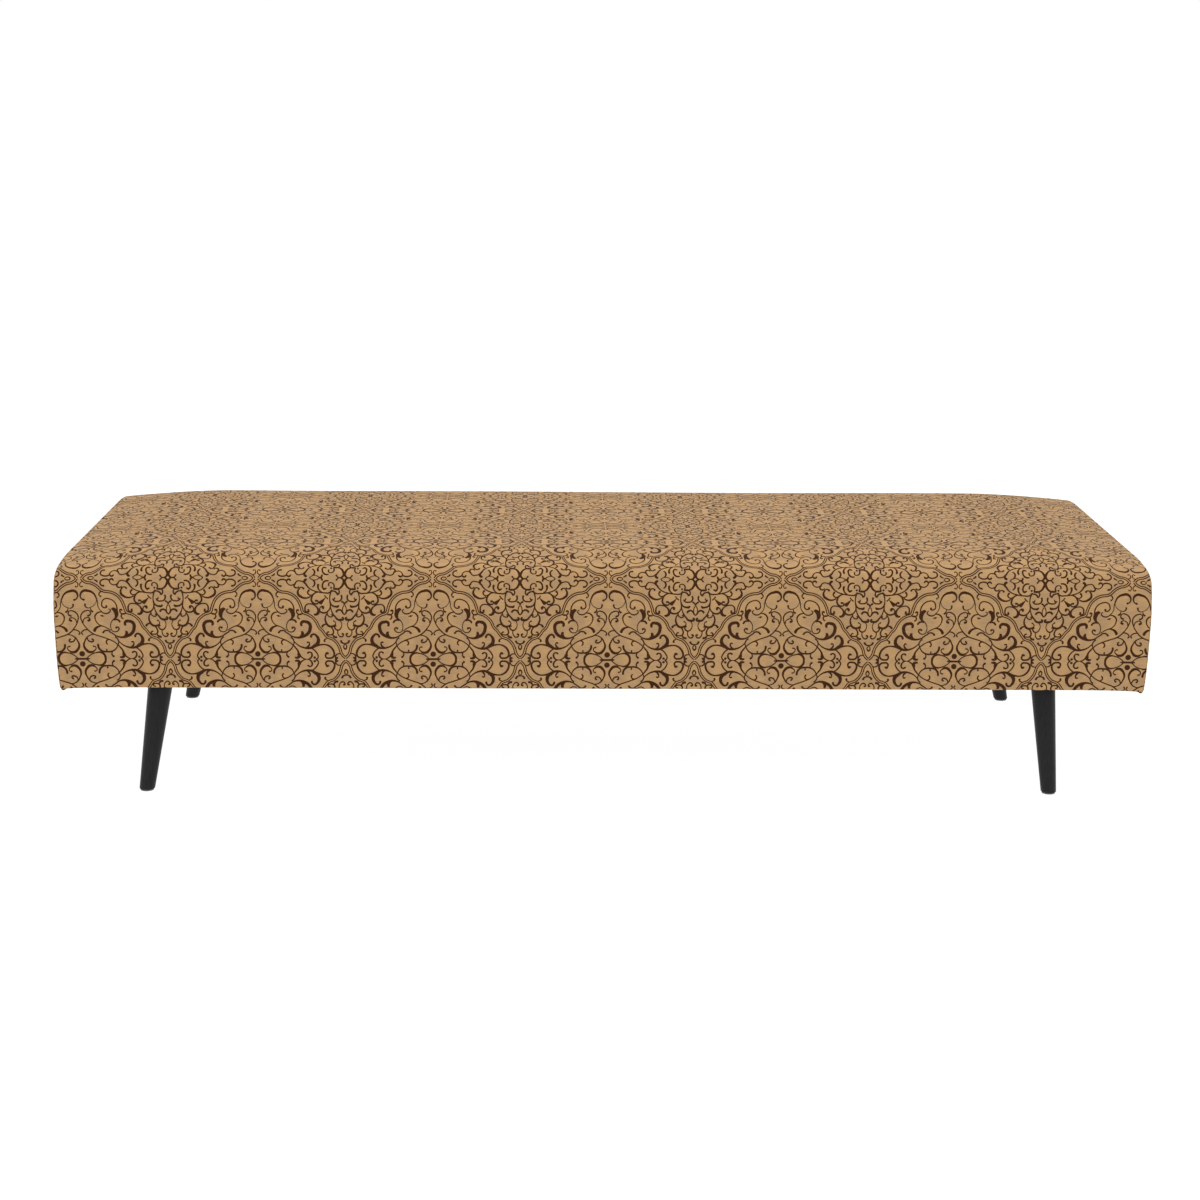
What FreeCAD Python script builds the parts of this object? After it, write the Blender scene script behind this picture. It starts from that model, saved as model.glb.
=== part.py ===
import FreeCAD, Part
import math
import os
from FreeCAD import Vector

# A backless divan: one long upholstered slab on four turned, splayed legs.
# X runs along the divan, Y from its front to its back, Z up. The origin is on
# the floor under the middle of the slab. All sizes are in millimetres.

# Sizes that are read from the photograph
divan_length = 2000.0        # over the swell of the two end panels
divan_depth = 750.0          # over the swell of the front and back
underside_height = 206.0     # floor to the black cloth under the slab
top_height = 452.0           # floor to the flat middle of the top
crown_run = 118.0            # distance from the side at which the top starts to fall
crown_fall = 15.6            # fall from there to the soft long edge
end_crown_fall = 7.0         # the same at the two ends, where the seam holds it
end_drop = 24.0              # how much lower the top is pulled at the ends
end_run = 220.0              # length of the stretch over which it comes down
eased_run = 0.35             # part of that stretch left where the drop is eased
eased_drop = 0.45            # share of the drop reached there
side_swell = 3.0             # how far the foam pushes the front and back out
end_swell = 7.0              # how far it pushes the two ends out
long_edge_radius = 28.0      # soft top edge at the front and the back
end_edge_radius = 7.0        # tighter top edge along the two end seams
end_edge_rise = 1.0          # end seam above the flat of the end's top
bottom_edge_radius = 4.0     # where the cloth turns under the rails
smallest_radius = 1.0        # no layer under the cover bends tighter than this

# Cloth, wadding, foam and the layers below them
cover_thickness = 1.5
turned_under = 38.0          # width of cover that is stapled under the rails
end_seam_inset = 1.5         # end seam, measured in from the end of the slab
wadding_thickness = 8.0
felt_thickness = 3.0
dust_cover_thickness = 0.8
dust_cover_margin = 18.0     # cover left showing round the dust cover
fold_thickness = 1.2         # turned-under cover, pressed flat by its staples

# Timber frame
rail_thickness = 25.0
rail_height = 95.0
rail_edge_radius = 5.0       # rounding that the webbing is pulled over
tongue_thickness = 9.0       # end rails are tongued into the long rails
tongue_length = 10.0
cross_rail_height = 68.0     # lower than the rails, clear of the webbing
cross_rail_thickness = 25.0
block_length = 100.0
block_width = 85.0
block_height = 45.0

# Elastic webbing
band_width = 60.0
band_thickness = 1.8
cross_band_count = 10
long_band_count = 4
band_ramp = 18.0             # length in which a band climbs over another
band_side_gap = 3.0          # raised stretch beyond the band it goes over
band_end_margin = 4.0        # bare rail beyond the end of a band

# Legs and what holds them
leg_end_inset = 177.0        # bolt centre to the end of the slab
leg_side_inset = 75.0        # bolt centre to the front or back of the slab
leg_splay_degrees = 12.0     # from upright
leg_top_diameter = 46.0
leg_foot_diameter = 28.5
glide_diameter = 25.0
glide_thickness = 3.0

plate_size = 62.0
plate_thickness = 2.5
plate_corner_cut = 8.0       # clipped corners of the plate
plate_opening = 2.0          # dust cover cut back round each plate
bush_diameter = 13.0
bush_height = 12.0

bolt_diameter = 8.0
bolt_in_leg = 34.0
bolt_above_plate = 16.0

hole_clearance = 0.1         # round a fastener, on the radius
seat_clearance = 0.2         # between a tongue or bolt and its blind end

overshoot = 10.0             # length a cutting form runs on past what it cuts

# Each leg was screwed up until it was tight, so each one stopped with its
# splay in its own direction: degrees from the long axis towards the side.
leg_turns = {
    "front_left": 50.0,
    "front_right": 73.0,
    "rear_left": 8.0,
    "rear_right": 4.0,
}
leg_sides = {
    "front_left": (-1, -1),
    "front_right": (1, -1),
    "rear_left": (-1, 1),
    "rear_right": (1, 1),
}

# Heights and half sizes that follow from the sizes above
fold_top = underside_height + dust_cover_thickness + fold_thickness
fold_bottom = underside_height + dust_cover_thickness
rail_top = fold_top + rail_height
padding = cover_thickness + wadding_thickness
rail_half_length = divan_length / 2 - end_swell - padding
rail_half_depth = divan_depth / 2 - side_swell - padding
inner_half_length = rail_half_length - rail_thickness
inner_half_depth = rail_half_depth - rail_thickness
weave_level = rail_top + band_thickness
felt_bottom = weave_level + band_thickness
felt_top = felt_bottom + felt_thickness
leg_x = divan_length / 2 - leg_end_inset
leg_y = divan_depth / 2 - leg_side_inset
leg_top = fold_top - plate_thickness
far = divan_length + divan_depth

os.makedirs("parts", exist_ok=True)


def save(name, shapes):
    """Write one sub-part, a solid or a list of separate solids."""
    pieces = shapes if isinstance(shapes, list) else [shapes]
    solids = []
    for piece in pieces:
        solids.extend(piece.Solids)
    shape = solids[0] if len(solids) == 1 else Part.makeCompound(solids)
    shape.exportStep("parts/" + name + ".step")
    print(name, len(solids), "solids", round(shape.Volume / 1000, 1), "ml",
          "sound" if shape.isValid() else "NOT SOUND")


def box(x_range, y_range, z_range):
    """A block between two values on each axis."""
    size = [abs(r[1] - r[0]) for r in (x_range, y_range, z_range)]
    corner = Vector(min(x_range), min(y_range), min(z_range))
    return Part.makeBox(size[0], size[1], size[2], corner)


def rod(diameter, start, direction, length):
    """A round bar from a start point along a direction."""
    return Part.makeCylinder(diameter / 2, length, start, direction)


def prism(points, direction):
    """A flat outline of straight runs, pushed along a direction."""
    corners = [Vector(*p) for p in points]
    outline = Part.makePolygon(corners + [corners[0]])
    return Part.Face(outline).extrude(direction)


def run(start, end):
    return Part.LineSegment(start, end).toShape()


def bend(start, middle, end):
    return Part.Arc(start, middle, end).toShape()


def corner_middle(centre, radius, side, up):
    """Half-way point of a quarter-round corner."""
    reach = radius * math.sin(math.radians(45))
    return centre[0] + side * reach, centre[1] + up * reach


def slab_section(x, half, bottom, top, fall, radius, foot_radius):
    """Cross section of the slab: upright beside the rails, swelling beside
    the foam, round at the long edges and gently crowned to a flat top."""
    def at(y, z):
        return Vector(x, y, z)

    # The crown's arc meets the flat top and the edge's arc smoothly
    span = crown_run - long_edge_radius
    between = (span ** 2 + fall ** 2) / (2 * fall)
    crown_radius = radius + between
    flat = half - radius - span
    lean = math.asin(span / between)
    meet = (flat + crown_radius * math.sin(lean),
            top - crown_radius * (1 - math.cos(lean)))
    crest = (flat + crown_radius * math.sin(lean / 2),
             top - crown_radius * (1 - math.cos(lean / 2)))
    shoulder = top - fall - radius
    turn = (math.pi / 2 - lean) / 2
    edge = (half - radius + radius * math.cos(turn), shoulder + radius * math.sin(turn))
    foot = corner_middle((half - foot_radius, bottom + foot_radius), foot_radius, 1, -1)
    middle = (rail_top + shoulder) / 2
    edges = [run(at(-half + foot_radius, bottom), at(half - foot_radius, bottom))]
    for side in (1, -1):
        edges.append(bend(at(side * (half - foot_radius), bottom),
                          at(side * foot[0], foot[1]),
                          at(side * half, bottom + foot_radius)))
        edges.append(run(at(side * half, bottom + foot_radius), at(side * half, rail_top)))
        edges.append(bend(at(side * half, rail_top),
                          at(side * (half + side_swell), middle),
                          at(side * half, shoulder)))
        edges.append(bend(at(side * half, shoulder), at(side * edge[0], edge[1]),
                          at(side * meet[0], meet[1])))
        edges.append(bend(at(side * meet[0], meet[1]), at(side * crest[0], crest[1]),
                          at(side * flat, top)))
    edges.append(run(at(flat, top), at(-flat, top)))
    return Part.Wire(Part.__sortEdges__(edges))


def end_profile(inset):
    """Side view of the slab's ends, as one block pushed right across."""
    half = divan_length / 2 - end_swell - inset
    edge = top_height - end_drop + end_edge_rise - inset
    radius = max(end_edge_radius - inset, smallest_radius)
    shoulder = edge - radius
    middle = (rail_top + shoulder) / 2
    low = -underside_height
    high = top_height + divan_depth

    def at(x, z):
        return Vector(x, -divan_depth, z)

    top = corner_middle((half - radius, shoulder), radius, 1, 1)
    edges = [
        run(at(-half, low), at(half, low)),
        run(at(half, low), at(half, rail_top)),
        bend(at(half, rail_top), at(half + end_swell, middle), at(half, shoulder)),
        bend(at(half, shoulder), at(*top), at(half - radius, edge)),
        run(at(half - radius, edge), at(half - radius, high)),
        run(at(half - radius, high), at(-half + radius, high)),
        run(at(-half + radius, high), at(-half + radius, edge)),
        bend(at(-half + radius, edge), at(-top[0], top[1]), at(-half, shoulder)),
        bend(at(-half, shoulder), at(-half - end_swell, middle), at(-half, rail_top)),
        run(at(-half, rail_top), at(-half, low)),
    ]
    face = Part.Face(Part.Wire(edges))
    return face.extrude(Vector(0, 2 * divan_depth, 0))


def slab(inset, bottom):
    """The slab's form, a set distance inside its outer surface."""
    half = divan_depth / 2 - side_swell - inset
    radius = long_edge_radius - inset
    foot_radius = max(bottom_edge_radius - inset, smallest_radius)
    end = divan_length / 2
    eased = end - eased_run * end_run
    stations = [
        (-end - overshoot, 1.0),
        (-eased, eased_drop),
        (-end + end_run, 0.0),
        (end - end_run, 0.0),
        (eased, eased_drop),
        (end + overshoot, 1.0),
    ]
    sections = []
    for x, share in stations:
        top = top_height - end_drop * share - inset
        fall = crown_fall + (end_crown_fall - crown_fall) * share
        sections.append(slab_section(x, half, bottom, top, fall, radius, foot_radius))
    body = Part.makeLoft(sections, True, True)
    return body.common(end_profile(inset))


def upholstery():
    """Cover in three sewn panels, wadding under it and the foam block."""
    outer = slab(0.0, fold_bottom)
    inside_cover = slab(cover_thickness, fold_top)
    inside_wadding = slab(padding, fold_top - rail_height)

    opening_x = divan_length / 2 - end_swell - turned_under
    opening_y = divan_depth / 2 - side_swell - turned_under
    low = fold_bottom - overshoot
    opening = box((-opening_x, opening_x), (-opening_y, opening_y), (low, fold_top))
    cover = outer.cut(inside_cover).cut(opening)

    # The end panel ends in a mitred flap under the end rail
    seam_x = divan_length / 2 - end_swell - end_seam_inset
    high = top_height + divan_depth
    panels = {}
    for name, side in (("left", -1), ("right", 1)):
        wall = box((side * seam_x, side * far), (-far, far), (low, high))
        flap_points = [
            (side * far, -opening_y - (far - opening_x), low),
            (side * far, opening_y + (far - opening_x), low),
            (side * opening_x, opening_y, low),
            (side * opening_x, -opening_y, low),
        ]
        flap = prism(flap_points, Vector(0, 0, fold_top - low))
        region = wall.fuse(flap)
        panels[name] = cover.common(region)
    main_panel = cover.cut([panels["left"], panels["right"]])
    save("cover_main_panel", main_panel)
    save("cover_end_panel_left", panels["left"])
    save("cover_end_panel_right", panels["right"])

    wadding = inside_cover.cut(inside_wadding)
    save("wadding_wrap", wadding)
    above_felt = box((-far, far), (-far, far), (felt_top, high))
    save("foam_block", inside_wadding.common(above_felt))


def felt_pad():
    felt = box((-rail_half_length, rail_half_length),
               (-rail_half_depth, rail_half_depth), (felt_bottom, felt_top))
    save("felt_pad", felt)


def band_profile(length, crossings, first_over, place):
    """One band of webbing, lying low on the rails and climbing over every
    other band that it meets."""
    low = rail_top
    high = rail_top + band_thickness
    lower = [(-length / 2, low)]
    for number, centre in enumerate(crossings):
        if (number + first_over) % 2:
            continue
        flat = band_width / 2 + band_side_gap
        lower.append((centre - flat - band_ramp, low))
        lower.append((centre - flat, high))
        lower.append((centre + flat, high))
        lower.append((centre + flat + band_ramp, low))
    lower.append((length / 2, low))
    upper = [(along, z + band_thickness) for along, z in reversed(lower)]
    return [place(along, z) for along, z in lower + upper]


def webbing():
    """Elastic bands, woven over and under each other."""
    cross_pitch = 2 * inner_half_length / cross_band_count
    cross_places = [cross_pitch * (n + 0.5) - inner_half_length
                    for n in range(cross_band_count)]
    long_pitch = 2 * inner_half_depth / long_band_count
    long_places = [long_pitch * (n + 0.5) - inner_half_depth
                   for n in range(long_band_count)]
    cross_length = 2 * (rail_half_depth - band_end_margin)
    long_length = 2 * (rail_half_length - band_end_margin)
    for number, x in enumerate(cross_places):
        near = x - band_width / 2
        points = band_profile(cross_length, long_places, number,
                              lambda along, z: (near, along, z))
        band = prism(points, Vector(band_width, 0, 0))
        save("webbing_crosswise_%02d" % (number + 1), band)
    for number, y in enumerate(long_places):
        near = y - band_width / 2
        points = band_profile(long_length, cross_places, number + 1,
                              lambda along, z: (along, near, z))
        band = prism(points, Vector(0, band_width, 0))
        save("webbing_lengthwise_%d" % (number + 1), band)


def rounded_rail(x_range, y_range, outer_edge):
    """A rail with its outer top edge, whose middle is given, rounded."""
    rail = box(x_range, y_range, (fold_top, rail_top))
    middle = Vector(outer_edge[0], outer_edge[1], rail_top)
    edge = min(rail.Edges, key=lambda e: e.CenterOfMass.distanceToPoint(middle))
    return rail.makeFillet(rail_edge_radius, [edge])


def timber_frame():
    """Two long rails, two end rails tongued into them and three low rails
    across the slab."""
    z_range = (fold_top, rail_top)
    end_centre = rail_half_length - rail_thickness / 2
    half_groove = tongue_thickness / 2 + hole_clearance
    groove_depth = tongue_length + seat_clearance
    for name, side in (("front", -1), ("rear", 1)):
        outer = side * rail_half_depth
        inner = side * inner_half_depth
        rail = rounded_rail((-rail_half_length, rail_half_length), (outer, inner), (0, outer))
        for end in (-1, 1):
            groove = box((end * end_centre - half_groove, end * end_centre + half_groove),
                         (inner, inner + side * groove_depth), z_range)
            rail = rail.cut(groove)
        save("rail_" + name, rail)

    for name, side in (("left", -1), ("right", 1)):
        outer = side * rail_half_length
        inner = side * inner_half_length
        rail = rounded_rail((outer, inner), (-inner_half_depth, inner_half_depth), (outer, 0))
        reach = inner_half_depth + tongue_length
        tongue = box((side * end_centre - tongue_thickness / 2,
                      side * end_centre + tongue_thickness / 2),
                     (-reach, reach), z_range)
        save("rail_" + name, rail.fuse(tongue).removeSplitter())

    cross_x = leg_x - block_length / 2 - cross_rail_thickness
    cross_z = (fold_top, fold_top + cross_rail_height)
    half = cross_rail_thickness / 2
    for name, x_range in (("left", (-cross_x - cross_rail_thickness, -cross_x)),
                          ("middle", (-half, half)),
                          ("right", (cross_x, cross_x + cross_rail_thickness))):
        save("cross_rail_" + name,
             box(x_range, (-inner_half_depth, inner_half_depth), cross_z))


def bolt(x, y, clearance):
    """Hanger bolt: wood thread down in the leg, machine thread up in the
    plate's bush. With a clearance it is the hole for the bolt."""
    low = leg_top - bolt_in_leg - clearance
    high = leg_top + plate_thickness + bolt_above_plate + clearance
    return rod(bolt_diameter + 2 * clearance, Vector(x, y, low), Vector(0, 0, 1),
               high - low)


def clipped_square(x, y, size, corner_cut, low, thickness):
    """A square plate with its four corners cut off."""
    half = size / 2
    short = half - corner_cut
    points = [(half, -short), (half, short), (short, half), (-short, half),
              (-half, short), (-half, -short), (-short, -half), (short, -half)]
    return prism([(x + a, y + b, low) for a, b in points], Vector(0, 0, thickness))


def leg_group(name):
    """One leg with its block and plate. Returns its bolt and glide."""
    x_side, y_side = leg_sides[name]
    x = x_side * leg_x
    y = y_side * leg_y
    up = Vector(0, 0, 1)
    bolt_hole = bolt(x, y, hole_clearance)

    # Leg block, glued to the rails and bored for the bush and the bolt
    x_range = (x - block_length / 2, x + block_length / 2)
    y_range = (y_side * inner_half_depth, y_side * (inner_half_depth - block_width))
    block = box(x_range, y_range, (fold_top, fold_top + block_height))
    bush_bore = rod(bush_diameter + 2 * hole_clearance, Vector(x, y, leg_top), up,
                    plate_thickness + bolt_above_plate + seat_clearance)
    save("leg_block_" + name, block.cut(bush_bore))

    # Steel plate with a threaded bush
    plate = clipped_square(x, y, plate_size, plate_corner_cut, leg_top, plate_thickness)
    bush = rod(bush_diameter, Vector(x, y, leg_top), up, plate_thickness + bush_height)
    save("leg_plate_" + name, plate.fuse(bush).removeSplitter().cut(bolt_hole))

    # Turned leg: a taper about a leaning axis, sawn level at both ends
    top_radius = leg_top_diameter / 2
    foot_radius = leg_foot_diameter / 2
    height = leg_top - glide_thickness
    splay = math.radians(leg_splay_degrees)
    axis_length = height / math.cos(splay)
    spare = leg_top_diameter / 2     # run on at each end, for the level cuts
    widening = (top_radius - foot_radius) / axis_length * spare
    turned = Part.makeCone(foot_radius - widening, top_radius + widening,
                           axis_length + 2 * spare,
                           Vector(0, 0, -axis_length - spare), up)
    turned.rotate(Vector(0, 0, 0), Vector(0, 1, 0), -leg_splay_degrees)
    turn = math.radians(leg_turns[name])
    lean = math.atan2(y_side * math.sin(turn), x_side * math.cos(turn))
    turned.rotate(Vector(0, 0, 0), up, math.degrees(lean))
    turned.translate(Vector(x, y, leg_top))
    between = box((x - height, x + height), (y - height, y + height),
                  (glide_thickness, leg_top))
    save("leg_" + name, turned.common(between).cut(bolt_hole))

    # Glide: a plastic disc nailed under the foot
    reach = height * math.tan(splay)
    foot = Vector(x + reach * math.cos(lean), y + reach * math.sin(lean), 0)
    return bolt(x, y, 0.0), rod(glide_diameter, foot, up, glide_thickness)


def legs():
    pairs = [leg_group(name) for name in leg_sides]
    save("hanger_bolts", [pair[0] for pair in pairs])
    save("glides", [pair[1] for pair in pairs])


def dust_cover():
    """Black cloth stapled over the underside and cut back round each leg
    plate."""
    half_x = divan_length / 2 - end_swell - dust_cover_margin
    half_y = divan_depth / 2 - side_swell - dust_cover_margin
    sheet = box((-half_x, half_x), (-half_y, half_y), (underside_height, fold_bottom))
    openings = []
    reach = plate_size / 2 + plate_opening
    for x_side, y_side in leg_sides.values():
        x = x_side * leg_x
        y = y_side * leg_y
        openings.append(box((x - reach, x + reach), (y - reach, y + reach),
                            (underside_height, fold_bottom)))
    save("dust_cover", sheet.cut(openings))


upholstery()
felt_pad()
webbing()
timber_frame()
legs()
dust_cover()
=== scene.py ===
import bpy
import bmesh
import math
import random
from mathutils import Matrix, Vector, noise


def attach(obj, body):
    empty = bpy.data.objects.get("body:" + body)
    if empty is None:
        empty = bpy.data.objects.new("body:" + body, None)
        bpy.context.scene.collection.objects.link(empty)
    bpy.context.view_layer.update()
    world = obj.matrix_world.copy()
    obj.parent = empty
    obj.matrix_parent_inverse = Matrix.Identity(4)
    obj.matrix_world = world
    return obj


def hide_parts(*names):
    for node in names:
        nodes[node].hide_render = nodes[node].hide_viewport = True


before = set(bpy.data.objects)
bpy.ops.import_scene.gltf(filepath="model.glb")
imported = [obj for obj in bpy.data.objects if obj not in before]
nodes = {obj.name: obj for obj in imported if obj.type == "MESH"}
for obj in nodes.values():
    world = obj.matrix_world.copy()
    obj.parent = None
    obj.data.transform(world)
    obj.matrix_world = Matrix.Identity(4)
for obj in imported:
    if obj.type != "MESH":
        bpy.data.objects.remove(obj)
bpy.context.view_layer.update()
scene = bpy.context.scene
print("frame loaded,", len(nodes), "CAD nodes")

# The slab in metres, as the CAD has it: X along it, Y from front to back, Z up
slab = {
    "halfLength": 0.9965,       # bottom of the end panels
    "halfDepth": 0.372,
    "bottom": 0.2068,
    "top": 0.452,
    "railTop": 0.303,
    "endBow": 0.0035,           # how far the ends bow out half-way up
    "sideSwell": 0.003,
    "crownRun": 0.118,          # from the side to where the top starts to fall
    "crownFall": 0.0156,
    "endCrownFall": 0.007,
    "endDrop": 0.018,           # the end seams pull the top down
    "endRun": 0.230,
    "endEase": 1.68,
    "edgeRadius": 0.028,
    "footRadius": 0.004,
    "seamRadius": 0.0026,       # tighter edge along the two end seams
    "seamInset": 0.0017,
    "seamTuck": 0.0009,         # the main panel's edge goes this far under the end panel
    "tuckReach": 0.003,
    "turnedUnder": 0.034,
    "cornerSag": 0.004,         # fullness of the cloth at the four bottom corners
    "cornerReach": 0.035,
}


def linear(hexColour):
    # sRGB hex to the linear colour that Blender works in
    parts = [int(hexColour[i:i + 2], 16) / 255 for i in (1, 3, 5)]
    return [c / 12.92 if c <= 0.04045 else ((c + 0.055) / 1.055) ** 2.4 for c in parts] + [1.0]


def addNode(tree, kind, inputs=None, **settings):
    # one node with its settings; an input is a value or another node's socket
    node = tree.nodes.new(kind)
    for name, value in settings.items():
        setattr(node, name, value)
    for key, value in (inputs or {}).items():
        if isinstance(value, bpy.types.NodeSocket):
            tree.links.new(value, node.inputs[key])
        else:
            node.inputs[key].default_value = value
    return node


def newMaterial(name, **fixed):
    material = bpy.data.materials.new(name)
    material.use_nodes = True
    shader = material.node_tree.nodes["Principled BSDF"]
    for socket, value in fixed.items():
        shader.inputs[socket.replace("_", " ")].default_value = value
    return material, material.node_tree, shader


def colourRamp(tree, factor, stops):
    ramp = addNode(tree, "ShaderNodeValToRGB", {0: factor})
    elements = ramp.color_ramp.elements
    while len(elements) < len(stops):
        elements.new(0.5)
    for element, (place, colour) in zip(elements, stops):
        element.position = place
        element.color = linear(colour)
    return ramp.outputs["Color"]


def finishPiece(name, bm, material, replaced=(), smooth=True):
    mesh = bpy.data.meshes.new(name)
    bm.to_mesh(mesh)
    bm.free()
    piece = bpy.data.objects.new(name, mesh)
    scene.collection.objects.link(piece)
    mesh.materials.append(material)
    for polygon in mesh.polygons:
        polygon.use_smooth = smooth
    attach(piece, "root")
    if replaced:
        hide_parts(*replaced)
    return piece


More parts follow.
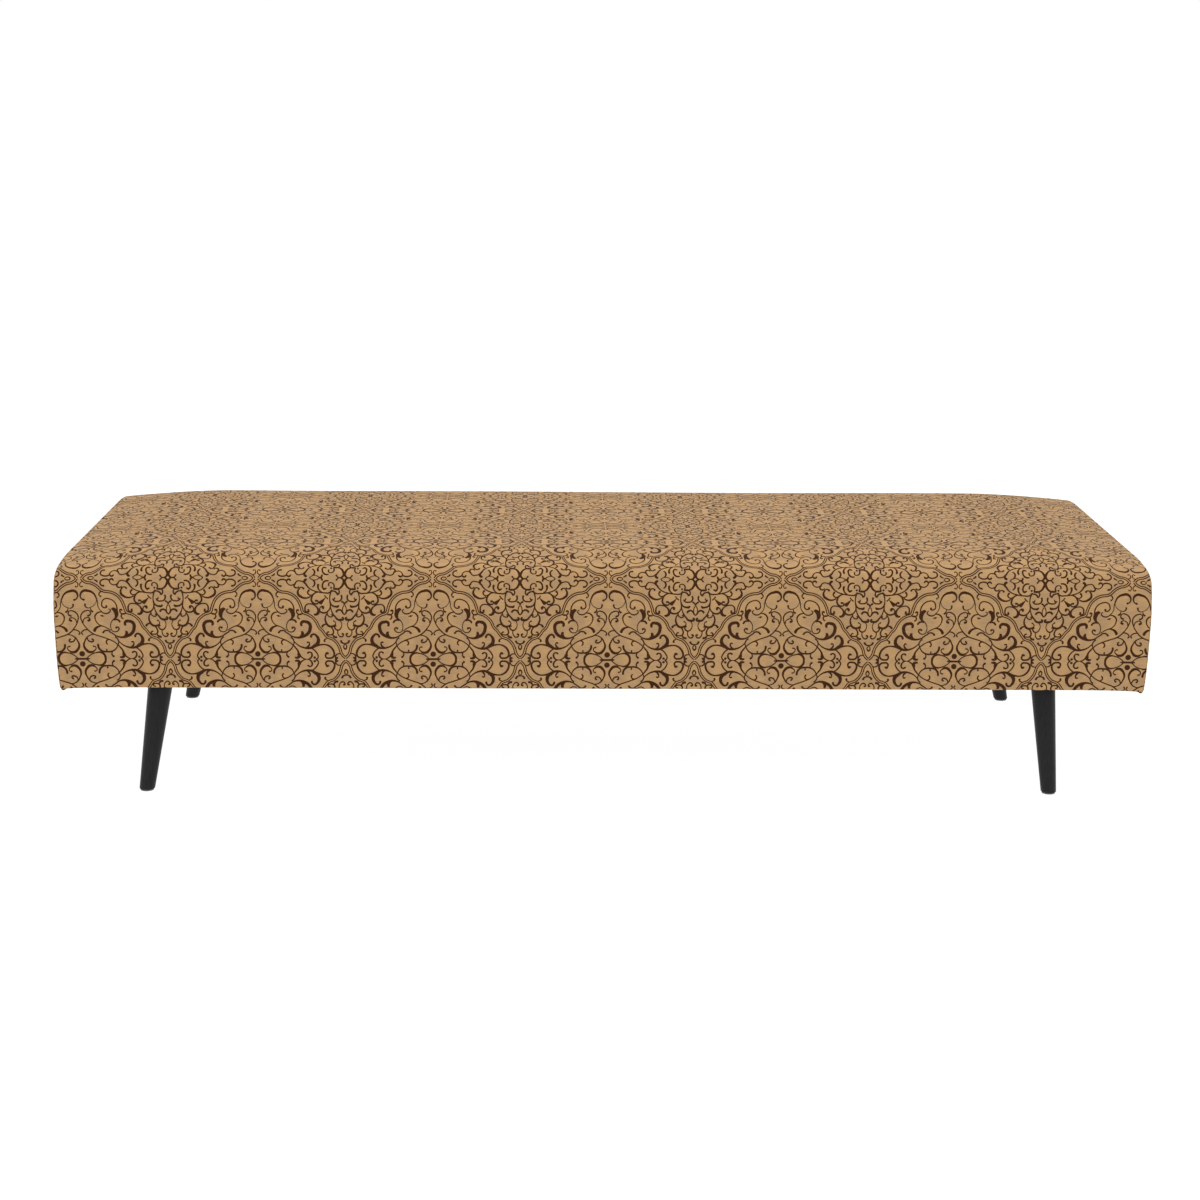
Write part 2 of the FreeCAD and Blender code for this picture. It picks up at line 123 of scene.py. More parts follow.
# Strokes of the pattern, given in tenths of a millimetre on half a repeat:
# across it, down it, width. Each three points in a row make an arc.
pattern = {
    "halfWidth": 159.375,       # mm, the pattern is mirrored at every half width
    "halfHeight": 152.0,
    "axisX": 5.0,               # mm from the middle of the slab to a mirror line
    "axisY": 55.75,             # mm from the bottom edge to a mirror line
    "lineGap": 1.8,             # the ogee lattice is a double line
    "lineHalf": 1.05,
    "strokeWidth": 1.06,
    "motifAcross": 40,          # the middle of the large motif in the strokes' own numbers
    "motifDown": 1560,
    "softEdge": 13,             # the widths were taken to the strokes' soft edges
    "leastCore": 0.55,          # and this share of a width is solid in any case
    "budShare": 0.88,
    "batch": 12,                # arcs that the renderer works out side by side
}
scrolls = [
    [(128, 438, 30), (68, 395, 28), (66, 335, 34), (110, 280, 46), (185, 274, 48), (275, 305, 38),
     (335, 390, 30), (360, 465, 24), (368, 545, 20), (388, 605, 20), (430, 655, 22),
     (510, 697, 28), (575, 670, 26), (590, 640, 24), (560, 615, 22)],
    [(345, 450, 16), (312, 530, 18), (240, 575, 20), (165, 575, 26), (145, 515, 32)],
    [(238, 590, 20), (245, 630, 28), (270, 655, 36)],
    [(440, 668, 22), (355, 685, 30), (308, 760, 28), (330, 850, 24), (395, 920, 24),
     (490, 960, 24), (575, 1020, 20)],
    [(408, 724, 20), (440, 742, 38), (478, 740, 20)],
    [(530, 575, 28), (470, 585, 28), (441, 515, 26), (470, 445, 26), (550, 427, 26),
     (660, 480, 26), (712, 600, 28), (705, 690, 30), (665, 790, 30)],
    [(665, 790, 28), (578, 930, 20), (600, 1025, 22), (690, 1040, 26), (730, 985, 28),
     (715, 960, 30), (675, 970, 32)],
    [(622, 612, 44), (672, 670, 64), (668, 790, 30)],
    [(645, 825, 26), (700, 815, 34), (750, 862, 34)],
    [(430, 938, 18), (345, 952, 40), (287, 1030, 50)],
    [(437, 1062, 34), (480, 1022, 32), (560, 1045, 28), (620, 1085, 26), (670, 1128, 28),
     (780, 1155, 40), (880, 1125, 56), (975, 1050, 58), (1000, 960, 60), (975, 870, 58),
     (900, 850, 56), (850, 865, 52), (845, 920, 40)],
    [(790, 1145, 20), (842, 1105, 46), (848, 1040, 36)],
    [(195, 730, 34), (235, 690, 28), (160, 637, 28), (80, 695, 28), (62, 780, 26), (95, 885, 24),
     (160, 985, 26), (235, 1065, 28), (330, 1118, 26), (450, 1160, 24), (560, 1203, 26),
     (650, 1258, 24), (735, 1345, 30), (785, 1425, 36), (790, 1490, 56)],
    [(790, 1470, 50), (775, 1520, 50), (730, 1530, 36)],
    [(100, 860, 22), (112, 800, 24), (155, 770, 24), (210, 780, 28), (215, 825, 30)],
    [(175, 1003, 26), (110, 1008, 28), (62, 1045, 26), (58, 1075, 28), (78, 1092, 30)],
    [(290, 1098, 22), (175, 1125, 26), (105, 1220, 28), (82, 1310, 38), (130, 1400, 46),
     (200, 1432, 44), (265, 1400, 26), (290, 1355, 24), (245, 1322, 26)],
    [(150, 1140, 24), (165, 1215, 28), (215, 1238, 32), (252, 1215, 30), (225, 1185, 30)],
    [(560, 1207, 24), (488, 1225, 30), (500, 1285, 26)],
    [(331, 1300, 40), (360, 1385, 38), (480, 1425, 34), (610, 1405, 30), (690, 1300, 24),
     (705, 1215, 26), (650, 1150, 30)],
    [(590, 1425, 20), (572, 1470, 28), (598, 1512, 34)],
    [(120, 1550, 24), (200, 1478, 24), (310, 1442, 28), (425, 1475, 42), (452, 1560, 38)],
    [(40, 1560, 36), (105, 1557, 36), (170, 1560, 26)],
    [(805, 1480, 30), (850, 1530, 28), (915, 1560, 22)],
    [(945, 1445, 36), (1000, 1428, 30), (1022, 1478, 34), (1000, 1530, 32), (915, 1560, 22)],
    [(1000, 1345, 24), (1070, 1390, 28), (1120, 1460, 28), (1128, 1530, 28), (1090, 1560, 34)],
    [(690, 1195, 22), (765, 1285, 26), (870, 1340, 34), (985, 1352, 42), (1085, 1295, 66),
     (1142, 1200, 60), (1105, 1110, 44), (1045, 1085, 38), (1012, 1140, 42)],
    [(890, 1345, 24), (962, 1308, 34), (980, 1262, 26), (968, 1238, 28), (942, 1245, 28)],
    [(1110, 1300, 40), (1180, 1282, 22), (1250, 1276, 28), (1360, 1320, 36), (1425, 1425, 38),
     (1405, 1512, 36), (1335, 1530, 36), (1270, 1500, 34), (1282, 1450, 32), (1305, 1438, 32),
     (1325, 1455, 20)],
    [(1300, 1170, 20), (1265, 1180, 30), (1258, 1215, 36)],
    [(870, 700, 20), (775, 690, 28), (762, 650, 28), (770, 628, 28), (800, 640, 26)],
    [(860, 705, 18), (785, 735, 28), (805, 795, 26)],
    [(470, 300, 20), (400, 325, 28), (400, 370, 24)],
    [(135, 112, 16), (60, 135, 24), (62, 180, 22), (75, 200, 20), (100, 192, 20)],
    [(490, 188, 34), (425, 165, 30), (425, 100, 30), (505, 68, 30), (580, 90, 30), (610, 155, 24),
     (665, 178, 26), (705, 168, 26), (735, 150, 28)],
    [(590, 90, 30), (625, 68, 34), (652, 92, 30)],
    [(735, 165, 30), (765, 105, 26), (825, 97, 24), (885, 115, 28), (930, 155, 34), (980, 225, 28),
     (1060, 275, 26), (1170, 305, 26), (1290, 318, 28), (1370, 305, 30), (1405, 265, 34)],
    [(735, 150, 28), (735, 215, 32), (770, 222, 28), (792, 215, 26), (797, 195, 24)],
    [(925, 150, 30), (908, 105, 44), (938, 72, 40)],
    [(890, 240, 30), (845, 212, 26), (805, 245, 30), (785, 310, 40), (830, 375, 44),
     (920, 412, 34), (1015, 378, 26)],
    [(1050, 345, 26), (975, 340, 28), (965, 290, 32)],
    [(1180, 305, 22), (1085, 325, 30), (1035, 400, 34), (1040, 480, 34), (1110, 515, 32),
     (1150, 475, 28), (1105, 460, 34)],
    [(1215, 300, 24), (1155, 240, 32), (1153, 170, 42)],
    [(1000, 42, 24), (1075, 82, 20), (1175, 44, 24)],
    [(1055, 80, 28), (1090, 135, 34), (1048, 205, 26)],
    [(1180, 42, 26), (1215, 60, 34), (1225, 95, 28)],
    [(1345, 102, 28), (1265, 115, 34), (1235, 180, 30), (1240, 225, 32), (1270, 260, 24)],
    [(1250, 240, 36), (1275, 240, 34), (1300, 225, 26)],
    [(1355, 190, 30), (1350, 145, 26), (1385, 130, 24), (1440, 165, 28), (1430, 235, 30)],
    [(1492, 85, 30), (1515, 50, 26), (1550, 38, 28), (1612, 75, 40), (1612, 150, 44),
     (1560, 225, 36), (1430, 240, 36)],
    [(1440, 250, 26), (1535, 275, 28), (1515, 345, 30)],
    [(1405, 285, 26), (1455, 290, 30), (1505, 340, 34)],
    [(1570, 355, 34), (1580, 420, 32), (1500, 466, 28), (1450, 460, 28), (1415, 420, 24)],
    [(1425, 435, 34), (1450, 420, 28), (1455, 395, 22)],
    [(1392, 275, 34), (1362, 390, 24), (1375, 520, 28), (1360, 610, 28), (1290, 672, 32),
     (1215, 670, 34), (1150, 610, 32), (1085, 540, 28), (1000, 517, 26), (925, 550, 28),
     (915, 610, 32), (940, 665, 34), (985, 650, 34)],
    [(1372, 470, 24), (1415, 545, 32), (1490, 558, 38), (1512, 553, 38), (1522, 535, 30)],
    [(1130, 590, 30), (1150, 665, 50), (1085, 712, 36)],
    [(1210, 665, 24), (1178, 610, 24), (1210, 565, 28), (1245, 570, 32), (1235, 605, 28)],
    [(1382, 570, 20), (1410, 670, 28), (1470, 755, 32), (1535, 810, 42), (1590, 800, 48),
     (1612, 785, 40), (1605, 765, 34)],
    [(1320, 670, 26), (1345, 740, 26), (1385, 752, 28), (1412, 735, 28), (1405, 710, 28)],
    [(1310, 700, 26), (1278, 790, 32), (1300, 870, 38), (1370, 930, 42), (1440, 915, 36),
     (1468, 860, 22), (1430, 830, 26)],
    [(1320, 895, 30), (1258, 893, 32), (1222, 930, 44)],
    [(1350, 920, 30), (1405, 970, 30), (1425, 1040, 32), (1395, 1088, 30), (1345, 1090, 28),
     (1305, 1055, 28), (1330, 1035, 28)],
    [(1410, 1085, 20), (1435, 1120, 34), (1488, 1138, 30)],
    [(1545, 815, 24), (1582, 890, 20), (1560, 970, 26), (1500, 1003, 30), (1455, 965, 30),
     (1452, 935, 28), (1475, 920, 24)],
    [(1512, 1000, 24), (1502, 1060, 24), (1530, 1118, 26), (1580, 1132, 30), (1605, 1105, 28),
     (1605, 1080, 28), (1580, 1075, 26)],
    [(1590, 470, 36), (1622, 492, 28), (1634, 530, 28)],
    [(1625, 540, 24), (1598, 620, 22), (1634, 712, 24)],
    [(1485, 660, 36), (1540, 622, 36), (1595, 665, 28), (1612, 695, 24), (1634, 712, 22)],
    [(1630, 1275, 24), (1605, 1325, 26), (1634, 1368, 34)],
    [(1560, 1205, 38), (1580, 1245, 34), (1634, 1258, 22)],
    [(195, 42, 22), (235, 68, 24), (300, 42, 20)],
    [(310, 75, 24), (335, 85, 24), (362, 108, 34)],
    [(1290, 395, 10), (1235, 455, 70), (1185, 500, 76)],
    [(1270, 365, 24), (1290, 390, 16), (1330, 425, 26)],
    [(1550, 1460, 24), (1470, 1470, 28), (1452, 1530, 30), (1455, 1550, 34), (1475, 1560, 36)],
]
lattice = [
    (85, 42), (135, 97), (240, 128), (335, 178), (415, 255), (470, 287), (540, 300), (710, 362),
    (812, 490), (840, 565), (860, 645), (885, 682), (935, 700), (1060, 778), (1140, 905),
    (1165, 955), (1217, 1007), (1258, 1072), (1300, 1130), (1345, 1152), (1400, 1170),
    (1495, 1268), (1545, 1395), (1575, 1470), (1634, 1528),
]
buds = [
    (122, 436, 24), (146, 520, 18), (270, 655, 22), (438, 738, 22), (522, 562, 23), (680, 972, 20),
    (625, 615, 22), (748, 860, 16), (287, 1028, 25), (437, 1058, 22), (847, 915, 22),
    (850, 1045, 19), (728, 1530, 20), (192, 730, 22), (195, 822, 27), (250, 1325, 18),
    (232, 1192, 18), (500, 1283, 15), (331, 1295, 21), (482, 1388, 18), (482, 1408, 14),
    (600, 1515, 24), (125, 1560, 30), (40, 1464, 58), (948, 1442, 18), (1068, 1525, 27),
    (1012, 1138, 20), (948, 1242, 18), (1300, 1450, 16), (1258, 1215, 20), (792, 640, 18),
    (808, 795, 17), (420, 382, 20), (98, 190, 17), (475, 190, 22), (650, 90, 14), (935, 72, 22),
    (885, 235, 22), (980, 275, 24), (1112, 463, 22), (1155, 168, 20), (1185, 42, 18),
    (1225, 80, 18), (1390, 225, 22), (1490, 82, 17), (1505, 342, 20), (1432, 435, 20),
    (975, 632, 24), (1085, 710, 20), (1232, 585, 20), (1600, 768, 20), (1402, 712, 17),
    (1433, 828, 18), (1222, 932, 22), (1335, 1038, 17), (1475, 1135, 19), (1472, 925, 16),
    (1585, 1082, 17), (1590, 470, 20), (1488, 658, 18), (1563, 1215, 20), (205, 42, 14),
    (362, 110, 16), (1195, 490, 38), (1272, 368, 16), (1325, 420, 12), (1480, 1530, 24),
]


def arcThrough(p0, p1, p2):
    # centre, radius, middle angle and half sweep of the arc through three points
    (ax, ay), (bx, by), (cx, cy) = p0[:2], p1[:2], p2[:2]
    d = 2 * (ax * (by - cy) + bx * (cy - ay) + cx * (ay - by))
    a2, b2, c2 = ax * ax + ay * ay, bx * bx + by * by, cx * cx + cy * cy
    x = (a2 * (by - cy) + b2 * (cy - ay) + c2 * (ay - by)) / d
    y = (a2 * (cx - bx) + b2 * (ax - cx) + c2 * (bx - ax)) / d
    radius = math.hypot(ax - x, ay - y)
    angles = [math.atan2(p[1] - y, p[0] - x) for p in (p0, p1, p2)]
    sweep = (angles[2] - angles[0]) % (2 * math.pi)
    if (angles[1] - angles[0]) % (2 * math.pi) > sweep:
        sweep -= 2 * math.pi
    middle = angles[0] + sweep / 2
    return x, y, radius, middle, abs(sweep) / 2, angles


def strokeWidths(points, radius, middle, angles, halfSweep):
    # half width over radius, as a plane over the arc: p*x + q*y + w
    halves = [p[2] * pattern["strokeWidth"] / 2 / radius for p in points]
    rows = [(math.cos(a - middle), math.sin(a - middle), 1.0) for a in angles]
    solved = Matrix(rows).inverted_safe() @ Vector(halves)
    if abs(solved.x) > 0.5:
        return 0.0, (halves[2] - halves[0]) / 2 / rows[2][1], (halves[0] + halves[2]) / 2
    return tuple(solved)


def fromMotif(across, down):
    # millimetres along and up the cloth from the middle of the large motif
    return (across - pattern["motifAcross"]) / 10, (pattern["motifDown"] - down) / 10


def inked(width):
    # solid width of a stroke in millimetres
    core = max(width ** 2 - pattern["softEdge"] ** 2, (pattern["leastCore"] * width) ** 2)
    return math.sqrt(core) / 10


def scrollwork(tree, folded):
    # 1 on the dark strokes; each arc's nodes are made just before they are added
    total = 0.0
    made = 0
    turn = 2 * math.pi

    def arcSpace(folded, x, y, radius, middle):
        mapped = addNode(tree, "ShaderNodeMapping", {
            "Vector": folded, "Location": (x, y, 0.0), "Rotation": (0.0, 0.0, middle),
            "Scale": (radius, radius, 1.0)}, vector_type="TEXTURE").outputs[0]
        away = addNode(tree, "ShaderNodeVectorMath", {0: mapped, 1: (0.0, 0.0, 1.0)},
                       operation="DISTANCE").outputs["Value"]
        return mapped, away

    def nextBatch(folded, total):
        # the renderer can hold few values at once, so a batch waits for the one before
        return addNode(tree, "ShaderNodeVectorMath", {0: total, 1: (1e-9, 1e-9, 0.0), 2: folded},
                       operation="MULTIPLY_ADD").outputs[0]

    def addArc(total, onLine, mapped, radius, halfSweep):
        around = addNode(tree, "ShaderNodeTexGradient", {0: mapped}, gradient_type="RADIAL")
        reach = (halfSweep + 0.3 / radius) / turn
        within = addNode(tree, "ShaderNodeMath", {0: around.outputs["Fac"], 1: 0.5, 2: reach},
                         operation="COMPARE").outputs[0]
        return addNode(tree, "ShaderNodeMath", {0: onLine, 1: within, 2: total},
                       operation="MULTIPLY_ADD").outputs[0]

    for chain in scrolls:
        points = [(*fromMotif(x, y), inked(width)) for x, y, width in chain]
        for i in range(0, len(points) - 2, 2):
            trio = points[i:i + 3]
            x, y, radius, middle, halfSweep, angles = arcThrough(*trio)
            widths = strokeWidths(trio, radius, middle, angles, halfSweep)
            made += 1
            if made % pattern["batch"] == 0:
                folded = nextBatch(folded, total)
            mapped, away = arcSpace(folded, x, y, radius, middle)
            width = addNode(tree, "ShaderNodeVectorMath", {0: mapped, 1: widths},
                            operation="DOT_PRODUCT").outputs["Value"]
            onLine = addNode(tree, "ShaderNodeMath", {0: away, 1: 1.0, 2: width},
                             operation="COMPARE").outputs[0]
            total = addArc(total, onLine, mapped, radius, halfSweep)
    for i in range(0, len(lattice) - 2, 2):
        trio = [fromMotif(x, y) for x, y in lattice[i:i + 3]]
        x, y, radius, middle, halfSweep, angles = arcThrough(*trio)
        if i % pattern["batch"] == 0:
            folded = nextBatch(folded, total)
        mapped, away = arcSpace(folded, x, y, radius, middle)
        off = addNode(tree, "ShaderNodeMath", {0: away, 1: 1.0}, operation="SUBTRACT").outputs[0]
        off = addNode(tree, "ShaderNodeMath", {0: off}, operation="ABSOLUTE").outputs[0]
        onLine = addNode(tree, "ShaderNodeMath", {
            0: off, 1: pattern["lineGap"] / radius, 2: pattern["lineHalf"] / radius},
            operation="COMPARE").outputs[0]
        total = addArc(total, onLine, mapped, radius, halfSweep)
    for number, (x, y, size) in enumerate(buds):
        if number % pattern["batch"] == 0:
            folded = nextBatch(folded, total)
        away = addNode(tree, "ShaderNodeVectorMath", {0: folded, 1: (*fromMotif(x, y), 1.0)},
                       operation="DISTANCE").outputs["Value"]
        inside = addNode(tree, "ShaderNodeMath", {0: away, 1: size / 10 * pattern["budShare"]},
                         operation="LESS_THAN").outputs[0]
        total = addNode(tree, "ShaderNodeMath", {0: total, 1: inside}, operation="ADD").outputs[0]
    return addNode(tree, "ShaderNodeMath", {0: total, 1: 0.5},
                   operation="GREATER_THAN").outputs[0]


coverLook = {
    "gold": "#b28d60",          # weft that lies open between the scrolls
    "rose": "#a58560",          # greyer twist of the two yarns
    "pale": "#c9a67c",
    "brown": "#331a08",         # the dark pattern yarn
    "brownLight": "#482a12",
    "thread": 1.5,              # mm; the real 0.5 mm threads would not show
    "patch": 22.0,              # mm, size of the golden and the greyer areas
}


# Jacquard-woven viscose and polyester: matt, slightly fuzzy, ribbed by its threads
def wovenJacquard():
    look = coverLook
    material, tree, shader = newMaterial("jacquardWovenViscose", Roughness=0.86, IOR=1.5,
                                         Specular_IOR_Level=0.12, Sheen_Weight=0.03,
                                         Sheen_Roughness=0.45)
    flat = addNode(tree, "ShaderNodeUVMap", uv_map="cloth").outputs[0]
    inMm = addNode(tree, "ShaderNodeVectorMath", {0: flat, 1: (1000.0, 1000.0, 0.0)},
                   operation="MULTIPLY").outputs[0]
    wander = addNode(tree, "ShaderNodeTexNoise", {"Vector": inMm, "Scale": 0.008, "Detail": 1.0},
                     noise_dimensions="2D").outputs["Color"]
    wander = addNode(tree, "ShaderNodeVectorMath", {0: wander, 1: (0.5, 0.5, 0.5)},
                     operation="SUBTRACT").outputs[0]
    pulled = addNode(tree, "ShaderNodeVectorMath", {0: wander, 1: (3.0, 3.0, 0.0), 2: inMm},
                     operation="MULTIPLY_ADD").outputs[0]
    split = addNode(tree, "ShaderNodeSeparateXYZ", {0: pulled})
    across = addNode(tree, "ShaderNodeMath", {0: split.outputs[0], 1: pattern["axisX"]},
                     operation="SUBTRACT").outputs[0]
    across = addNode(tree, "ShaderNodeMath", {0: across, 1: pattern["halfWidth"]},
                     operation="PINGPONG").outputs[0]
    up = addNode(tree, "ShaderNodeMath", {0: split.outputs[1], 1: pattern["axisY"]},
                 operation="SUBTRACT").outputs[0]
    up = addNode(tree, "ShaderNodeMath", {0: up, 1: pattern["halfHeight"]},
                 operation="PINGPONG").outputs[0]
    folded = addNode(tree, "ShaderNodeCombineXYZ", {0: across, 1: up, 2: 1.0}).outputs[0]
    dark = scrollwork(tree, folded)

    # the ground: golden in some areas of the repeat and greyer in others
    areas = addNode(tree, "ShaderNodeTexNoise", {"Vector": folded, "Scale": 1 / look["patch"],
                                                 "Detail": 1.0}).outputs["Fac"]
    slubs = addNode(tree, "ShaderNodeMapping", {"Vector": inMm, "Scale": (0.05, 0.9, 1.0)})
    slub = addNode(tree, "ShaderNodeTexNoise", {"Vector": slubs.outputs[0], "Scale": 1.0,
                                                "Detail": 2.0}).outputs["Fac"]
    ground = colourRamp(tree, areas, [(0.40, look["rose"]), (0.60, look["gold"])])
    streak = addNode(tree, "ShaderNodeMapRange", {0: slub, 1: 0.50, 2: 0.75, 3: 0.0, 4: 0.55})
    groundColour = addNode(tree, "ShaderNodeMix", {
        0: streak.outputs[0], 6: ground, 7: linear(look["pale"])}, data_type="RGBA").outputs[2]

    # threads: warp and weft ribs over each other
    ribs = []
    for direction in ("X", "Y"):
        wave = addNode(tree, "ShaderNodeTexWave", {
            "Vector": inMm, "Scale": math.pi / (10 * look["thread"]), "Distortion": 0.6,
            "Detail": 1.0, "Detail Scale": 2.0}, wave_type="BANDS", bands_direction=direction)
        ribs.append(wave.outputs["Fac"])
    weave = addNode(tree, "ShaderNodeMath", {0: ribs[0], 1: ribs[1]}, operation="MULTIPLY").outputs[0]
    darkYarn = colourRamp(tree, slub, [(0.35, look["brown"]), (0.75, look["brownLight"])])
    colour = addNode(tree, "ShaderNodeMix", {0: dark, 6: groundColour, 7: darkYarn},
                     data_type="RGBA").outputs[2]
    # painted shade and light of the thread ribs: the colour is darkened in the hollows between the ribs
    # and lightened a little on their crests
    shade = addNode(tree, "ShaderNodeMapRange", {0: weave, 3: 0.86, 4: 1.06}).outputs[0]
    shaded = addNode(tree, "ShaderNodeVectorMath", {0: colour, "Scale": shade}, operation="SCALE")
    tree.links.new(shaded.outputs[0], shader.inputs["Base Color"])
    fuzz = addNode(tree, "ShaderNodeMapRange", {0: slub, 3: 0.78, 4: 0.94}).outputs[0]
    tree.links.new(fuzz, shader.inputs["Roughness"])
    bump = addNode(tree, "ShaderNodeBump", {"Strength": 0.35, "Distance": 0.0006, "Height": weave})
    tree.links.new(bump.outputs[0], shader.inputs["Normal"])
    return material


def objectNoise(tree, scale, stretch=(1.0, 1.0, 1.0), detail=3.0):
    place = addNode(tree, "ShaderNodeTexCoord").outputs["Object"]
    mapped = addNode(tree, "ShaderNodeMapping", {"Vector": place, "Scale": stretch}).outputs[0]
    return addNode(tree, "ShaderNodeTexNoise", {"Vector": mapped, "Scale": scale,
                                                "Detail": detail}).outputs["Fac"]


# a finish with a grain: two colours, a roughness range and a fine bump from one noise
def grainedMaterial(name, scale, stretch, stops, rough, bumpDepth, **fixed):
    material, tree, shader = newMaterial(name, **fixed)
    grain = objectNoise(tree, scale, stretch)
    tree.links.new(colourRamp(tree, grain, stops), shader.inputs["Base Color"])
    spread = addNode(tree, "ShaderNodeMapRange", {0: grain, 3: rough[0], 4: rough[1]}).outputs[0]
    tree.links.new(spread, shader.inputs["Roughness"])
    bump = addNode(tree, "ShaderNodeBump", {"Strength": 0.4, "Distance": bumpDepth, "Height": grain})
    tree.links.new(bump.outputs[0], shader.inputs["Normal"])
    return material


finishes = {
    "cover": wovenJacquard(),
    # Beech, turned, stained black and oiled: satin to matt, with the fine grain just showing
    "beech": grainedMaterial("blackStainedTurnedBeech", 420, (1.0, 1.0, 0.05),
                             [(0.35, "#0f0e0f"), (0.70, "#1c1a1c")], (0.38, 0.52), 0.00008,
                             IOR=1.5, Specular_IOR_Level=0.2),
    # Nylon, moulded: grey, slightly scuffed
    "nylon": grainedMaterial("mouldedGreyNylon", 300, (1.0, 1.0, 1.0),
                             [(0.3, "#4b4b4d"), (0.7, "#5f5f61")], (0.45, 0.65), 0.00005, IOR=1.53),
    # Mild steel, pressed and zinc-plated: pale grey with cloudy spangle
    "zinc": grainedMaterial("zincPlatedPressedSteel", 160, (1.0, 1.0, 1.0),
                            [(0.3, "#8f9291"), (0.7, "#b9bbb8")], (0.28, 0.45), 0.00003,
                            Metallic=1.0),
    # Polypropylene, spunbonded: black, dull, with a fine pressed dot
    "spunbond": grainedMaterial("spunbondPolypropylene", 900, (1.0, 1.0, 1.0),
                                [(0.3, "#141414"), (0.7, "#242425")], (0.8, 0.95), 0.0002, IOR=1.49),
    # Pine, sawn and planed: pale yellow with long darker growth rings
    "pine": grainedMaterial("sawnPine", 28, (0.08, 1.0, 1.0),
                            [(0.35, "#d9b581"), (0.62, "#b98a52")], (0.55, 0.75), 0.0003, IOR=1.45),
    # Polyester and natural rubber, braided elastic: black with a ribbed face
    "webbing": grainedMaterial("braidedElasticWebbing", 700, (1.0, 1.0, 1.0),
                               [(0.3, "#161617"), (0.7, "#333335")], (0.7, 0.9), 0.0003, IOR=1.5),
    # Waste wool and jute, needled felt: grey flecked with lighter fibres
    "felt": grainedMaterial("needledGreyFelt", 260, (1.0, 1.0, 1.0),
                            [(0.3, "#5b5b5e"), (0.7, "#8d8c8a")], (0.9, 1.0), 0.0006, IOR=1.5),
    # Polyester fibre, carded wadding: white and fluffy
    "wadding": grainedMaterial("cardedPolyesterWadding", 90, (1.0, 1.0, 1.0),
                               [(0.3, "#e4e4e1"), (0.7, "#f7f7f5")], (0.9, 1.0), 0.002, IOR=1.5),
    # Polyurethane, cut foam: cream, open-celled
    "foam": grainedMaterial("cutPolyurethaneFoam", 800, (1.0, 1.0, 1.0),
                            [(0.3, "#d9cd9c"), (0.7, "#ece2b8")], (0.85, 1.0), 0.0006, IOR=1.5),
}
print("materials made")


def share(x):
    # 0 along most of the slab, rising to 1 at the ends where the seams hold it down
    left = (slab["endRun"] - (1.003 - abs(x))) / slab["endRun"]
    return max(0.0, min(1.0, left)) ** slab["endEase"]


def sectionSizes(part):
    top = slab["top"] - slab["endDrop"] * part
    fall = slab["crownFall"] + (slab["endCrownFall"] - slab["crownFall"]) * part
    radius = slab["edgeRadius"]
    span = slab["crownRun"] - radius
    between = (span ** 2 + fall ** 2) / (2 * fall)
    lean = math.asin(span / between)
    shoulder = top - fall - radius
    lengths = [shoulder - slab["bottom"] - slab["footRadius"], radius * (math.pi / 2 - lean),
               (radius + between) * lean, slab["halfDepth"] - radius - span]
    return top, radius, radius + between, lean, shoulder, lengths


clothMiddle = slab["footRadius"] + sum(sectionSizes(0.0)[5])


def swell(z, shoulder):
    up = (z - slab["railTop"]) / (shoulder - slab["railTop"])
    return slab["sideSwell"] * math.sin(math.pi * max(0.0, min(1.0, up))) ** 2


def section(along, part):
    # place and outward direction at a length of cloth up from the front bottom edge
    side = -1 if along <= clothMiddle else 1
    t = along if side < 0 else 2 * clothMiddle - along
    foot, half, bottom = slab["footRadius"], slab["halfDepth"], slab["bottom"]
    top, radius, crown, lean, shoulder, lengths = sectionSizes(part)
    if t > foot:
        t = foot + (t - foot) * sum(lengths) / (clothMiddle - foot)
    quarter = foot * math.pi / 2
    if t < foot - quarter:
        y, z, ny, nz = half - foot - (foot - quarter - t), bottom, 0.0, -1.0
    elif t < foot:
        a = (t - foot) / foot
        y, z, ny, nz = half - foot + foot * math.cos(a), bottom + foot + foot * math.sin(a), \
            math.cos(a), math.sin(a)
    else:
        t -= foot
        if t < lengths[0]:
            z = bottom + foot + t
            y, ny, nz = half + swell(z, shoulder), 1.0, 0.0
        elif t < lengths[0] + lengths[1]:
            a = (t - lengths[0]) / radius
            y, z = half - radius + radius * math.cos(a), shoulder + radius * math.sin(a)
            ny, nz = math.cos(a), math.sin(a)
        elif t < sum(lengths[:3]):
            a = lean - (t - lengths[0] - lengths[1]) / crown
            flat = half - slab["crownRun"]
            y, z = flat + crown * math.sin(a), top - crown * (1 - math.cos(a))
            ny, nz = math.sin(a), math.cos(a)
        else:
            y, z, ny, nz = sum(lengths) - t, top, 0.0, 1.0
    return Vector((0.0, side * y, z)), Vector((0.0, side * ny, nz))


def endPlane(z):
    up = (z - slab["bottom"]) / (slab["top"] - slab["endDrop"] - slab["bottom"])
    return slab["halfLength"] + slab["endBow"] * math.sin(math.pi * max(0.0, min(1.0, up)))


def roundIn(distance, radius):
    # how far a rounded edge lies inside its corner, at a distance from the corner
    left = max(0.0, radius - max(0.0, distance))
    return radius - math.sqrt(max(0.0, radius ** 2 - left ** 2))


def cornerSag(fromEnd, fromSide, z):
    # the spare cloth at a bottom corner hangs a little and rounds it
    reach = slab["cornerReach"]
    up = max(0.0, z - slab["bottom"])
    fade = math.exp(-(max(0.0, fromEnd) + max(0.0, fromSide) + 1.5 * up) / reach)
    return slab["cornerSag"] * fade


